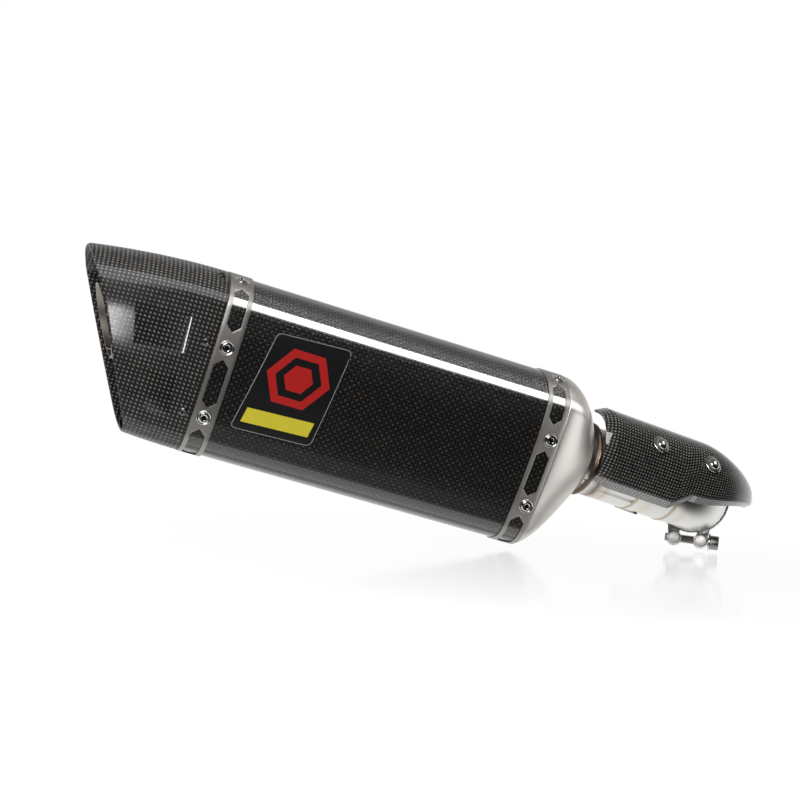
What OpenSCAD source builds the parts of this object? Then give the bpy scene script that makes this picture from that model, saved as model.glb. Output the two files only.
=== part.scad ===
// Slip-on exhaust muffler: carbon sleeve of shield-like section, slanted end cap,
// metal inlet cone, link pipe with an inboard elbow, heat shield and a T-bolt clamp.
// Lengths in millimetres. Sleeve stations run along X from the rear band's rear edge.

/* [Sleeve] */
// length of the sleeve with both bands
sleeve_length = 302; // [240:1:380]
// wall of the carbon sleeve
sleeve_wall = 2; // [1:0.1:4]
// width of each retaining band
band_width = 19.5; // [12:0.5:30]
// thickness of each retaining band
band_wall = 1.2; // [0.8:0.1:2]
// number of facets in each rounded corner of the section
corner_steps = 5; // [3:1:8]

/* [End cap] */
// station of the cap's upper tip, behind the rear band
cap_tip = 116; // [90:1:140]
// station of the cap's lower lip, behind the rear band
cap_lip = 51; // [30:1:70]
// cap wall
cap_wall = 2.2; // [1.5:0.1:4]
// outer radius of the outlet tube
outlet_r = 28; // [20:0.5:30]
// how far the cap's mouth is turned towards the outer side, in degrees
mouth_yaw = 3; // [0:0.5:10]

/* [Link pipe] */
// outer radius of the link pipe
pipe_r = 30.25; // [25:0.25:32]
// pipe wall
pipe_wall = 1.2; // [0.8:0.1:2]
// length of the straight run from cone to elbow
straight_run = 94; // [70:1:120]
// straight leg of the bend, from its weld to where it starts to turn
elbow_leg = 38; // [30:1:60]
// distance of the hanger's web from the start of the bend
hanger_back = 26; // [20:1:34]
// elbow centreline radius
elbow_r = 60; // [50:1:90]
// elbow turn in degrees
elbow_turn = 56; // [40:1:80]
// outer radius of the inlet socket
socket_r = 32; // [30:0.25:34]
// socket wall
socket_wall = 1.5; // [1:0.1:2]
// socket length
socket_length = 44; // [36:1:60]
// downward pitch of the link pipe
pipe_pitch = 2; // [0:0.5:6]
// inboard yaw of the link pipe
pipe_yaw = 9; // [0:0.5:12]

/* [Clamp] */
// distance of the clamp's middle from the elbow
clamp_at = 27; // [20:1:40]
// clamp band width
clamp_width = 19; // [14:0.5:24]
// roll of the clamp about the socket axis
clamp_roll = -11; // [-20:0.2:20]
// bolt shank radius
bolt_r = 4; // [2.5:0.5:4]

/* [Hidden] */
$fn = 96;
eps = 0.01;

// ---- section of the can: corners [y, z, rounding radius], from the ridge down the outer side
half = [[0,78.5,50],[-30,69.5,60],[-50.5,53,14],[-50.5,28,150],[-46,-5,200],[-37,-42,150],[-27,-71,22],[0,-80,45]];
corners = concat(half, [for (i = [6:-1:1]) [-half[i][0], half[i][1], half[i][2]]]);
nc = len(corners);
function unit(v) = v / norm(v);
function arc_pts(i, t) = let(
    p = [corners[i][0], corners[i][1]], q = corners[(i + nc - 1) % nc], w = corners[(i + 1) % nc],
    a = unit(p - [q[0], q[1]]), b = unit([w[0], w[1]] - p), r = corners[i][2],
    turn = acos(min(1, a * b)), c = p - a * r * tan(turn / 2) - [a[1], -a[0]] * r,
    a1 = atan2(-a[0], a[1]))
  [for (k = [0:corner_steps]) c + (r + t) * [cos(a1 + turn * k / corner_steps), sin(a1 + turn * k / corner_steps)]];
function section(t) = [for (i = [0:nc - 1]) each arc_pts(i, t)];
function perim_pt(s, pts, i = 0) = let(n = len(pts), a = pts[i % n], b = pts[(i + 1) % n], l = norm(b - a))
  s <= l ? [a + (b - a) * s / l, unit(b - a)] : perim_pt(s - l, pts, i + 1);
apex_s = 14.5;
rivet_d = [24, 94, 154.5];
window_d = [60, 125, 186];
// positions round the section, measured both ways from the ridge; the front row sits a little nearer the ridge
function around(d, shift) = [for (v = d, s = [-1, 1]) (apex_s + s * (v - (v > 30 ? shift : 0)) + 418.7) % 418.7];
function shift_at(s) = s > 100 ? 3.6 : 0;

// ---- the row's origin is the centre of the inlet mouth
cone_len = 39;
throat = [sleeve_length + cone_len, 0, 11.7];
weld_at = straight_run - elbow_leg;
web_at = throat[0] + straight_run - hanger_back;
function rz(v, a) = [v[0] * cos(a) - v[1] * sin(a), v[0] * sin(a) + v[1] * cos(a), v[2]];
function ry(v, a) = [v[0] * cos(a) + v[2] * sin(a), v[1], -v[0] * sin(a) + v[2] * cos(a)];
mouth_local = [straight_run + elbow_r * sin(elbow_turn), elbow_r * (1 - cos(elbow_turn)), 0]
  + socket_length * [cos(elbow_turn), sin(elbow_turn), 0];
mouth = throat + rz(ry(mouth_local, pipe_pitch), pipe_yaw);
echo(mouth = mouth, axis = rz(ry([cos(elbow_turn), sin(elbow_turn), 0], pipe_pitch), pipe_yaw));

module row() translate(-mouth) children();
module prism(s0, s1, t) translate([s0, 0, 0]) rotate([90, 0, 90]) linear_extrude(s1 - s0) polygon(section(t));
module tube(r, w, l) rotate([0, 90, 0]) difference() {
  cylinder(r = r, h = l);
  translate([0, 0, -1]) cylinder(r = r - w, h = l + 2);
}
module at_perimeter(s, p, t = 0) {
  q = perim_pt(p, section(t));
  // local z is the outward normal, local x runs along the sleeve
  translate([s, q[0][0], q[0][1]]) rotate([atan2(q[1][1], q[1][0]) + 180, 0, 0]) children();
}
module loft(rings) {
  n = len(rings[0]); m = len(rings);
  polyhedron(
    points = [for (r = rings) each r],
    faces = concat([[for (i = [n - 1:-1:0]) i]], [[for (i = [0:n - 1]) (m - 1) * n + i]],
      [for (j = [0:m - 2], i = [0:n - 1]) [j * n + i, j * n + (i + 1) % n, (j + 1) * n + i]],
      [for (j = [0:m - 2], i = [0:n - 1]) [j * n + (i + 1) % n, (j + 1) * n + (i + 1) % n, (j + 1) * n + i]]));
}

// ---- frames along the link pipe
module link() translate(throat) rotate([0, pipe_pitch, pipe_yaw]) children();
module on_elbow(a) link() translate([straight_run, elbow_r, 0]) rotate([0, 0, a]) translate([0, -elbow_r, 0]) children();
module at_end() on_elbow(elbow_turn) children();
module clamp_frame() at_end() translate([clamp_at, 0, 0]) rotate([clamp_roll, 0, 0]) children();

// ---- sleeve and bands
module outer_sleeve() color([0.05, 0.05, 0.055]) row() difference() {
  prism(1, sleeve_length - 1, -band_wall);
  prism(0, sleeve_length, -band_wall - sleeve_wall);
  rivet_holes(band_width / 2);
  rivet_holes(sleeve_length - 7.5);
}
module rivet_holes(s, deep = 8) for (p = around(rivet_d, shift_at(s))) at_perimeter(s, p) translate([0, 0, -deep]) cylinder(r = 2.45, h = deep + 8, $fn = 24);
module band(s0, sr) difference() {
  prism(s0, s0 + band_width, 0);
  prism(s0 - 1, s0 + band_width + 1, -band_wall);
  rivet_holes(sr);
  for (p = around(window_d, shift_at(s0))) at_perimeter(s0 + band_width / 2, p) translate([0, 0, -7])
    linear_extrude(14) polygon([[-6, -15], [0, -20.5], [6, -15], [6, 15], [0, 20.5], [-6, 15]]);
}
module rear_band() color([0.42, 0.40, 0.38]) row() band(0, band_width / 2);
module front_band() color([0.42, 0.40, 0.38]) row() band(sleeve_length - band_width, sleeve_length - 7.5);
module rivet() {
  // dished head, hollow stem and tail
  rotate_extrude($fn = 48) polygon([[2, -5.5], [2.42, -5.5], [2.42, 0.02], [6, 0.02], [6.2, 0.5], [5.7, 1.1], [5, 0.7], [4.5, 0.75], [4.1, 1.4], [2.4, 1.4], [2, 1]]);
}
module rear_band_rivets() color([0.75, 0.75, 0.76]) row() for (p = around(rivet_d, 0)) at_perimeter(band_width / 2, p) rivet();
module front_band_rivets() color([0.75, 0.75, 0.76]) row() for (p = around(rivet_d, 3.6)) at_perimeter(sleeve_length - 7.5, p) rivet();

// ---- end cap: stations [behind the band, top drop, bottom rise, side inset]
cap_st = [[-1, 0, 0, 0], [20, 0.4, 0.3, 0.2], [45, 1.9, 2.2, 1.2], [70, 4.6, 4.6, 3], [95, 8.4, 7.5, 5.5], [125, 14, 12, 9]];
function cap_ring(k, t) = let(c = cap_st[k]) [for (p = section(t))
  let(u = (p[1] + 80) / 158.5, f = (50.5 - c[3]) / 50.5)
  [-c[0], p[0] * f, p[1] - c[1] * max(0, u - 0.35) / 0.65 + c[2] * max(0, 0.35 - u) / 0.35]];
module cap_solid(t) loft([for (k = [0:len(cap_st) - 1]) cap_ring(k, t)]);
cut_a = atan2(cap_tip - cap_lip, 131);
module cap_cut(inside = 0) translate([-cap_tip + inside, 15, 61]) rotate([0, 0, mouth_yaw]) rotate([0, -cut_a, 0]) translate([-120, -115, -300]) cube([120, 200, 500]);
module end_cap() color([0.07, 0.07, 0.075]) row() difference() {
  union() {
    difference() { cap_solid(-0.4); cap_solid_inner(); cap_cut(); }
    intersection() {
      difference() { cap_solid(0.2); cap_solid(-1.2); cap_cut(); }
      union() {
        translate([0, -20, 0]) rotate([90, 0, 0]) linear_extrude(60) polygon([[-70, 33], [-24, 33], [-22, 0], [-62, -3]]);
        translate([0, -10, 0]) rotate([90, 0, 0]) linear_extrude(60) polygon([[-46, -17], [-22, -17], [-19, -50], [-37, -53]]);
      }
    }
  }
  translate([-eps, -100, -100]) cube([10, 200, 200]);
  for (p = around(rivet_d, 0)) at_perimeter(-7.5, p) translate([0, 0, -8]) cylinder(r = 2.05, h = 16, $fn = 24);
}
module cap_solid_inner() loft([for (k = [0:len(cap_st) - 1]) [for (p = cap_ring(k, -0.4 - cap_wall)) [p[0] + (k == 0 ? 1 : k == len(cap_st) - 1 ? -1 : 0), p[1], p[2]]]]);
module cap_screw() rotate_extrude($fn = 36) polygon([[0, -6], [1.95, -6], [1.95, -0.2], [3.6, -0.2], [3.6, 0.7], [2.7, 1.5], [1.3, 1.5], [1.3, 0.2], [0, 0.2]]);
module end_cap_screws() color([0.1, 0.1, 0.1]) row() for (p = around(rivet_d, 0)) at_perimeter(-7.5, p) cap_screw();

// ---- inside: bulkheads, core, packing and outlet tube
module outlet_axis() translate([0, 0, 8]) children();
module rear_bulkhead() color([0.6, 0.6, 0.6]) row() difference() {
  prism(-16, -0.2, -4.4);
  prism(-14.5, 3, -5.9);
  outlet_axis() translate([-30, 0, 0]) rotate([0, 90, 0]) cylinder(r = outlet_r + 0.02, h = 60);
  for (p = around(rivet_d, 0)) at_perimeter(-7.5, p) translate([0, 0, -12]) cylinder(r = 2.05, h = 16, $fn = 24);
}
module outlet_tube() color([0.55, 0.53, 0.5]) row() difference() {
  outlet_axis() translate([-112, 0, 0]) tube(outlet_r, 1.2, 134);
  cap_cut(2.5);
}
module outlet_ring() color([0.6, 0.58, 0.55]) row() outlet_axis() translate([-17.6, 0, 0]) tube(outlet_r + 5, 4.98, 1.5);
module core_tube() color([0.55, 0.55, 0.55]) row() outlet_axis() difference() {
  translate([8, 0, 0]) tube(outlet_r - 1.25, 1, sleeve_length - 8);
  for (i = [0:13]) for (a = [0, 60, 120]) translate([34 + i * 18, 0, 0]) rotate([a + (i % 2) * 30, 0, 0]) translate([0, 0, -40]) cylinder(r = 2.5, h = 80, $fn = 16);
}
module packing() color([0.85, 0.8, 0.6]) row() difference() {
  prism(26, sleeve_length - 13.1, -band_wall - sleeve_wall - 2.6);
  outlet_axis() rotate([0, 90, 0]) cylinder(r = outlet_r - 1.15, h = 400);
}
module front_bulkhead() color([0.6, 0.6, 0.6]) row() difference() {
  prism(sleeve_length - 13, sleeve_length + 1, -band_wall - sleeve_wall - 1.7);
  prism(sleeve_length - 11.5, sleeve_length + 3, -band_wall - sleeve_wall - 3.2);
  outlet_axis() rotate([0, 90, 0]) cylinder(r = outlet_r - 1.23, h = 400);
  rivet_holes(sleeve_length - 7.5, 9);
}

// ---- inlet cone: a smooth blend from the can's section to the round throat
cone_n = 8;
function circ_pt(p, r) = let(d = unit([p[0], p[1] - 4])) [d[0] * r, throat[2] + d[1] * r];
function cone_s(k) = sleeve_length + cone_len * k / cone_n;
// the ridge side is fuller than the underside
function cone_ring(k, t, r) = [for (p = section(t)) let(c = circ_pt(p, r),
  w = pow(k / cone_n, 1.42 + 0.85 * max(0, min(1, (p[1] + 40) / 90))), q = p * (1 - w) + c * w) [cone_s(k), q[0], q[1]]];
module cone_solid(t, r) loft([for (k = [cone_n:-1:0]) cone_ring(k, t, r)]);
module inlet_cone() color([0.5, 0.48, 0.46]) row() difference() {
  union() {
    cone_solid(-0.6, 31.8);
    prism(sleeve_length - 18, sleeve_length + 0.5, -band_wall - sleeve_wall - 0.1);
  }
  intersection() {
    translate([-1.4, 0, 0]) cone_solid(-1.8, 30.35);
    translate([sleeve_length + 1.3, -100, -100]) cube([100, 200, 200]);
  }
  prism(sleeve_length - 20, sleeve_length + 2, -band_wall - sleeve_wall - 1.6);
  link() translate([-40, 0, 0]) rotate([0, 90, 0]) cylinder(r = pipe_r + 0.02, h = 80);
  // the mouth is cut square to the link pipe, where the collar closes it
  link() translate([0.55, -60, -60]) cube([40, 120, 120]);
  rivet_holes(sleeve_length - 7.5);
}
module neck_collar() color([0.8, 0.78, 0.74]) row() link() rotate([0, 90, 0]) rotate_extrude()
  polygon([[pipe_r + 0.03, 0.6], [pipe_r + 2.4, 0.6], [pipe_r + 2.9, 1.8], [pipe_r + 2.6, 3.4], [pipe_r + 1.2, 4.6], [pipe_r + 0.03, 4.8]]);
module neck_tube() color([0.75, 0.73, 0.7]) row() link() translate([-8, 0, 0]) tube(pipe_r, pipe_wall, weld_at + 8);
module link_tube() color([0.78, 0.77, 0.74]) row() link() translate([weld_at, 0, 0]) tube(pipe_r, pipe_wall, elbow_leg);
module link_elbow() color([0.78, 0.77, 0.74]) row() link() translate([straight_run, elbow_r, 0]) rotate([0, 0, -90])
  rotate_extrude(angle = elbow_turn) translate([elbow_r, 0]) difference() { circle(r = pipe_r); circle(r = pipe_r - pipe_wall); }
module inlet_socket() color([0.76, 0.75, 0.72]) row() at_end() difference() {
  rotate([0, 90, 0]) rotate_extrude() polygon([[pipe_r - pipe_wall, 0], [pipe_r, 0], [socket_r, 8], [socket_r, socket_length],
    [socket_r - socket_wall, socket_length], [socket_r - socket_wall, 8.4], [pipe_r - pipe_wall, 2]]);
  for (a = [45, 135]) rotate([a, 0, 0]) translate([socket_length - 24, -1.25, -50]) cube([30, 2.5, 100]);
}
module bead() rotate([0, 90, 0]) rotate_extrude() polygon([[pipe_r, -1.7], [pipe_r + 0.55, -1.1], [pipe_r + 0.7, 0], [pipe_r + 0.55, 1.1], [pipe_r, 1.7]]);
module weld_beads() color([0.8, 0.72, 0.55]) row() {
  link() translate([weld_at, 0, 0]) bead();
  link() translate([straight_run, 0, 0]) rotate([0, 90, 0]) rotate_extrude() polygon([[pipe_r, -1.7], [pipe_r + 0.55, -1.1], [pipe_r + 0.7, -0.05], [pipe_r, -0.05]]);
}

// ---- heat shield: an arched shell following the straight run and the elbow
shield_in = [[26.4, -18], [34, -13], [37.5, 0], [39, 12], [38, 24], [34.5, 34], [28, 41.5], [18, 46], [6, 47]];
function grow(p, t) = let(n = len(p)) [for (i = [0:n - 1]) let(a = p[max(0, i - 1)], b = p[min(n - 1, i + 1)], d = unit(b - a)) p[i] + t * [d[1], -d[0]]];
function rev(p) = [for (i = [len(p) - 1:-1:0]) p[i]];
module shield_2d(p) polygon(concat(p, rev(grow(p, 2))));
shield_on = 14; // the shield runs straight past the start of the elbow
module shield_sweep(a) {
  translate([-6, 0, 0]) rotate([90, 0, 90]) linear_extrude(straight_run + shield_on + 6) mirror([1, 0]) shield_2d(shield_in);
  translate([straight_run + shield_on, elbow_r, 0]) rotate([0, 0, -90]) rotate_extrude(angle = a) translate([elbow_r, 0]) shield_2d(shield_in);
}
module heat_shield() color([0.06, 0.06, 0.065]) row() link() difference() {
  shield_sweep(elbow_turn - 4);
  // slanted rear edge, the step and the rising lower edge, and the screw holes
  translate([3, -100, 0]) rotate([0, -8.5, 0]) translate([-60, 0, -100]) cube([60, 200, 200]);
  translate([0, 60, 0]) rotate([90, 0, 0]) linear_extrude(200) {
    polygon([[83, -30], [98, -5], [200, 14], [300, 14], [300, -60], [83, -60]]);
    polygon([[122, 52], [200, 34], [200, 80], [122, 80]]);
  }
  for (i = [0, 1]) screw_at(i) translate([0, 0, -8]) cylinder(r = 3.2, h = 30, $fn = 32);
}
screw_x = [52.5, 109];
boss_a = [41, 39];
shield_d = 50.4;
module screw_at(i) translate([screw_x[i], 0, 0]) rotate([90 - boss_a[i], 0, 0]) translate([0, 0, shield_d]) children();
module each_screw() row() link() { screw_at(0) children(); screw_at(1) children(); }
// the room under the shield
module under_2d() polygon(concat(grow(shield_in, -0.05), [[0, 47], [0, -17]]));
module under_shield() {
  rotate([90, 0, 90]) linear_extrude(straight_run + shield_on) mirror([1, 0]) under_2d();
  translate([straight_run + shield_on - 0.01, elbow_r, 0]) rotate([0, 0, -90]) rotate_extrude(angle = elbow_turn) translate([elbow_r, 0]) under_2d();
}
module shield_bosses() color([0.7, 0.7, 0.7]) row() link() difference() {
  intersection() {
    for (i = [0, 1]) screw_at(i) difference() {
      translate([0, 0, -26]) cylinder(r = 6, h = 30, $fn = 48);
      translate([0, 0, -15]) cylinder(r = 2.55, h = 30, $fn = 32);
    }
    under_shield();
  }
  rotate([0, 90, 0]) cylinder(r = pipe_r + 0.01, h = straight_run);
  translate([weld_at - 1.8, 0, 0]) rotate([0, 90, 0]) cylinder(r = pipe_r + 0.74, h = 3.6);
  translate([straight_run, elbow_r, 0]) rotate([0, 0, -90]) rotate_extrude(angle = elbow_turn) translate([elbow_r, 0]) circle(r = pipe_r + 0.01);
}
module shield_washers() color([0.8, 0.8, 0.8]) each_screw() rotate_extrude($fn = 64) polygon([[3.1, 0], [8.2, 0], [8.2, 0.8], [7.4, 1.2], [3.1, 1.2]]);
module shield_screws() color([0.8, 0.8, 0.8]) each_screw() difference() {
  rotate_extrude($fn = 48) polygon([[0, -13], [2.5, -13], [2.5, 1.2], [5.6, 1.2], [5.6, 2], [4.8, 3.4], [3, 4.1], [0, 4.1]]);
  translate([0, 0, 2]) cylinder(r = 1.73, h = 6, $fn = 6);
}

// ---- hanger bracket on the inboard side of the link pipe: a web across the pipe and a flange with the bolt hole
module hanger_bracket() color([0.6, 0.58, 0.55]) row() difference() {
  union() {
    translate([web_at, 8, -22.5]) cube([4, 46, 44.5]);
    translate([web_at - 31, 50, -3]) cube([35, 4, 31]);
  }
  link() rotate([0, 90, 0]) cylinder(r = pipe_r + 0.02, h = 200);
  translate([web_at - 16, 44, 10]) rotate([-90, 0, 0]) cylinder(r = 4.2, h = 20, $fn = 64);
}

// ---- T-bolt clamp around the socket
barrel_y = 12.4;
barrel_z = -39.8;
barrel_r = 6;
module ring_x(r0, r1, w) rotate([0, 90, 0]) translate([0, 0, -w / 2]) difference() {
  cylinder(r = r1, h = w);
  translate([0, 0, -1]) cylinder(r = r0, h = w + 2);
}
module clamp_liner() color([0.7, 0.7, 0.7]) row() clamp_frame() ring_x(socket_r + 0.05, socket_r + 1, clamp_width - 2);
// local y of the clamp frame runs against the bolt's head end
module along_x(w) rotate([90, 0, 90]) translate([0, 0, -w / 2]) linear_extrude(w) children();
module clamp_band() color([0.68, 0.68, 0.68]) row() clamp_frame() difference() {
  union() {
    along_x(clamp_width) difference() {
      circle(r = socket_r + 2.2);
      polygon([[0, 0], [-14.6, -60], [14.6, -60]]);
    }
    for (s = [-1, 1]) {
      along_x(clamp_width) translate([s * barrel_y, barrel_z]) circle(r = barrel_r + 1);
      along_x(clamp_width) polygon([[s * 8.6, -30], [s * 20, -24], [s * 18.2, -37.4], [s * 12, -38.4], [s * 7.6, -35.6]]);
    }
  }
  along_x(clamp_width + 2) circle(r = socket_r + 1);
  for (s = [-1, 1]) along_x(clamp_width + 2) translate([s * barrel_y, barrel_z]) circle(r = barrel_r);
  translate([-bolt_r - 1.2, -30, barrel_z - 10]) cube([2 * bolt_r + 2.4, 60, 14.6]);
}
module barrel(y, hole) translate([0, y, barrel_z]) difference() {
  rotate([0, 90, 0]) rotate_extrude() polygon([[0, -10.4], [5.2, -10.4], [barrel_r, -9.6], [barrel_r, 9.6], [5.2, 10.4], [0, 10.4]]);
  rotate([90, 0, 0]) cylinder(r = hole, h = 30, center = true, $fn = 64);
}
module barrel_plain() color([0.78, 0.77, 0.75]) row() clamp_frame() barrel(-barrel_y, bolt_r + 0.3);
module barrel_threaded() color([0.78, 0.77, 0.75]) row() clamp_frame() barrel(barrel_y, bolt_r + 0.05);
head_y = -barrel_y - barrel_r - 2.65;
module on_bolt() clamp_frame() translate([0, 0, barrel_z]) rotate([90, 0, 0]) children();
module clamp_washer() color([0.6, 0.6, 0.6]) row() on_bolt() translate([0, 0, -head_y - 1.6]) difference() {
  cylinder(r = 8.2, h = 1.6);
  translate([0, 0, -1]) cylinder(r = bolt_r + 0.05, h = 4);
}
module clamp_bolt() color([0.35, 0.35, 0.36]) row() on_bolt() difference() {
  rotate_extrude() polygon([[0, -21], [bolt_r - 0.8, -21], [bolt_r, -20.2], [bolt_r, -head_y], [6.5, -head_y], [6.5, -head_y + 7.3], [5.9, -head_y + 8], [0, -head_y + 8]]);
  translate([0, 0, -head_y + 4]) cylinder(r = 3.46, h = 6, $fn = 6);
}

// ---- badge: a thin plate that follows the sleeve's face, with a plain raised device
module on_face(t0, t1) intersection() {
  difference() { prism(20, 130, t1); prism(19, 131, t0); }
  translate([0, -20, 0]) rotate([90, 0, 0]) linear_extrude(60) children();
}
module badge_plate() color([0.03, 0.03, 0.03]) row() on_face(-band_wall, 0.3)
  polygon([[47.2, 39.2], [106.6, 42], [109, 39.8], [99.8, -40.6], [97, -43.2], [36.2, -45.8], [33, -43], [44.6, 36.8]]);
// a six-sided ring with a six-sided middle, leaning with the plate
function leaning_hex(r) = [for (a = [0:60:300]) [73 + r * cos(a) + 0.11 * r * sin(a), 7 + r * sin(a)]];
module badge_mark() color([0.7, 0.05, 0.05]) row() on_face(0.3, 0.7) {
  difference() { polygon(leaning_hex(27)); polygon(leaning_hex(19.5)); }
  polygon(leaning_hex(12.5));
}
module badge_bar() color([0.85, 0.7, 0.1]) row() on_face(0.3, 0.7)
  polygon([[40.6, -26], [97.2, -23.6], [95.4, -36.2], [38.6, -38.6]]);

outer_sleeve();
rear_band();
front_band();
rear_band_rivets();
front_band_rivets();
end_cap();
end_cap_screws();
outlet_tube();
outlet_ring();
rear_bulkhead();
core_tube();
packing();
front_bulkhead();
inlet_cone();
neck_collar();
neck_tube();
link_tube();
link_elbow();
inlet_socket();
weld_beads();
heat_shield();
shield_bosses();
shield_screws();
shield_washers();
hanger_bracket();
clamp_liner();
clamp_band();
barrel_plain();
barrel_threaded();
clamp_washer();
clamp_bolt();
badge_plate();
badge_mark();
badge_bar();
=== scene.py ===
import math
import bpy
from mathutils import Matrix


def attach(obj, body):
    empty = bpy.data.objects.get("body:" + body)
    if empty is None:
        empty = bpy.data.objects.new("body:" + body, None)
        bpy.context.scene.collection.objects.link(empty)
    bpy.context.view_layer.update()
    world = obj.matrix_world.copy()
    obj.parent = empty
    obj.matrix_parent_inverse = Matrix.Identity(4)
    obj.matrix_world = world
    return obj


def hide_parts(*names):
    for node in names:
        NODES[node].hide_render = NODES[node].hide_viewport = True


bl_info = {
    "name": "Slip-on Silencer",
    "version": (1, 0, 0),
    "blender": (4, 5, 0),
    "location": "View3D > Sidebar > Silencer",
    "description": "Builds the skins, fasteners, finishes and studio of a carbon slip-on silencer around its frame",
    "category": "Object",
}

import bmesh
import bpy
from mathutils import Matrix, Vector

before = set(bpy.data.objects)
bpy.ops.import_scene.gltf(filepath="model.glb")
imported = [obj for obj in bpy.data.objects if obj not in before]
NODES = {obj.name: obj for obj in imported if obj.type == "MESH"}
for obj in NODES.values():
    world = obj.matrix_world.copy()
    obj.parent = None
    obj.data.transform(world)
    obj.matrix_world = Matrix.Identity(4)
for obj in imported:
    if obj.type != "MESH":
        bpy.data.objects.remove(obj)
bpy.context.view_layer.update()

MM = 0.001
# where the can's own origin (ridge plane, rear band's rear edge) lies from the inlet mouth
MOUTH = Vector((497.329, 88.4705, 5.82478))
THROAT = Vector((341.0, 0.0, 11.7))
CAN = 302.0
BAND = 19.5
PIPE_R = 30.25
RUN = 94.0
BEND_R = 60.0
TURN = 56.0
SLEEVE_WALL = 2.0
BAND_WALL = 1.2
WELD_AT = 56.0
# distances from the ridge, both ways round, of the rivets and of the straps' windows
RIVETS_AT = (24, 94, 154.5)
WINDOWS_AT = (60, 125, 186)
# the front strap's lower rows sit this much nearer the ridge, and its rivets this far from the sleeve's end
FRONT_SHIFT = 3.6
FRONT_INSET = 7.5
SCREWS_AT = -7.5
ARC_STEPS = 40
# distance from a hexagon's middle to its side, as a share of that to its corner
HEX_FLAT = 0.866
# the clamp's two barrels: their distance either side of the gap, their radius and their height
BARREL_AT = 12.4
BARREL_R = 6.0
BARREL_DOWN = -39.8

# corners of the can's section: y, z and rounding radius, from the ridge down the outer side
HALF = [(0, 78.5, 50), (-30, 69.5, 60), (-50.5, 53, 14), (-50.5, 28, 150), (-46, -5, 200), (-37, -42, 150),
    (-27, -71, 22), (0, -80, 45)]


# ---------------------------------------------------------------- shape functions
def section_line():
    """Dense points and outward normals round the can, from the ridge down the outer side and back."""
    corners = HALF + [(-a, b, r) for a, b, r in HALF[-2:0:-1]]
    n = len(corners)
    out = []
    for i, (y, z, r) in enumerate(corners):
        p = Vector((y, z))
        a = (p - Vector(corners[i - 1][:2])).normalized()
        b = (Vector(corners[(i + 1) % n][:2]) - p).normalized()
        turn = a.angle(b)
        c = p - a * r * math.tan(turn / 2) - Vector((a.y, -a.x)) * r
        a1 = math.atan2(-a.x, a.y)
        for k in range(ARC_STEPS + 1):
            t = a1 + turn * k / ARC_STEPS
            d = Vector((math.cos(t), math.sin(t)))
            out.append((c + d * r, d))
    # the first corner's middle is the ridge
    return out[ARC_STEPS // 2:] + out[:ARC_STEPS // 2 + 1]


LINE = section_line()
STEPS = [0.0]
for (p, _), (q, _) in zip(LINE, LINE[1:]):
    STEPS.append(STEPS[-1] + (q - p).length)
GIRTH = STEPS[-1]


def around(w):
    """Point and normal of the can's section at distance w down the outer side from the ridge."""
    w %= GIRTH
    lo, hi = 0, len(STEPS) - 1
    while hi - lo > 1:
        mid = (lo + hi) // 2
        if STEPS[mid] <= w:
            lo = mid
        else:
            hi = mid
    f = (w - STEPS[lo]) / max(1e-9, STEPS[hi] - STEPS[lo])
    (p, d), (q, e) = LINE[lo], LINE[hi]
    return p.lerp(q, f), d.lerp(e, f).normalized()


def girth_at(z):
    """Distance from the ridge at which the outer side has that height."""
    lo, hi = 30.0, GIRTH / 2
    for _ in range(40):
        mid = (lo + hi) / 2
        if around(mid)[0].y > z:
            lo = mid
        else:
            hi = mid
    return lo


def on_can(s, w, h):
    p, n = around(w)
    q = p + n * h
    return Vector((s, q.x, q.y))


def on_cap(s, w, h):
    """Like on_can, on the tapering end cap, where s is negative."""
    p, n = around(w)
    q = p + n * (h - 0.4)
    t = max(0.0, -s) / 125
    drop, rise, inset = 13 * t ** 1.9, 12 * t ** 1.75, 9 * t ** 1.9
    u = (q.y + 80) / 158.5
    z = q.y - drop * max(0.0, u - 0.35) / 0.65 + rise * max(0.0, 0.35 - u) / 0.35
    return Vector((s, q.x * (50.5 - inset) / 50.5, z))


def cap_edge(w):
    """Station of the cap's slanted mouth at that place round it."""
    s = -80.0
    yaw, slant = math.radians(3), math.radians(26.4)
    for _ in range(12):
        p = on_cap(s, w, 0)
        s = -116 + (15 - p.y) * math.tan(yaw) + (61 - p.z) * math.tan(slant) / math.cos(yaw)
    off = min(w % GIRTH, GIRTH - w % GIRTH)
    return s + 2.4 * math.exp(-((off / 11) ** 2))


def on_cone(s, w, h):
    p, n = around(w)
    q = p + n * h
    d = Vector((p.x, p.y - 4)).normalized()
    c = Vector((d.x * (31.8 + h), THROAT.z + d.y * (31.8 + h)))
    u = max(0.0, (s - CAN) / 39)
    f = u ** (1.42 + 0.85 * max(0.0, min(1.0, (p.y + 40) / 90)))
    q = q.lerp(c, f)
    return Vector((s, q.x, q.y))


LINK = Matrix.Translation(THROAT) @ Matrix.Rotation(math.radians(9), 4, "Z") @ Matrix.Rotation(math.radians(2),
    4, "Y")
ELBOW_END = LINK @ Matrix.Translation((RUN + BEND_R * math.sin(math.radians(TURN)),
    BEND_R * (1 - math.cos(math.radians(TURN))), 0)) @ Matrix.Rotation(math.radians(TURN), 4, "Z")
CLAMP = ELBOW_END @ Matrix.Translation((27, 0, 0)) @ Matrix.Rotation(math.radians(-11), 4, "X")

SHIELD = [(35.8, -13), (38.6, -4), (40.4, 4), (41, 12), (40.8, 19), (39.6, 26), (37.4, 32), (34, 38),
    (29.4, 42.8), (23.5, 46.2), (16.5, 48.2), (8, 49)]
SHIELD_STEPS = [0.0]
for _a, _b in zip(SHIELD, SHIELD[1:]):
    SHIELD_STEPS.append(SHIELD_STEPS[-1] + math.dist(_a, _b))


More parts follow.
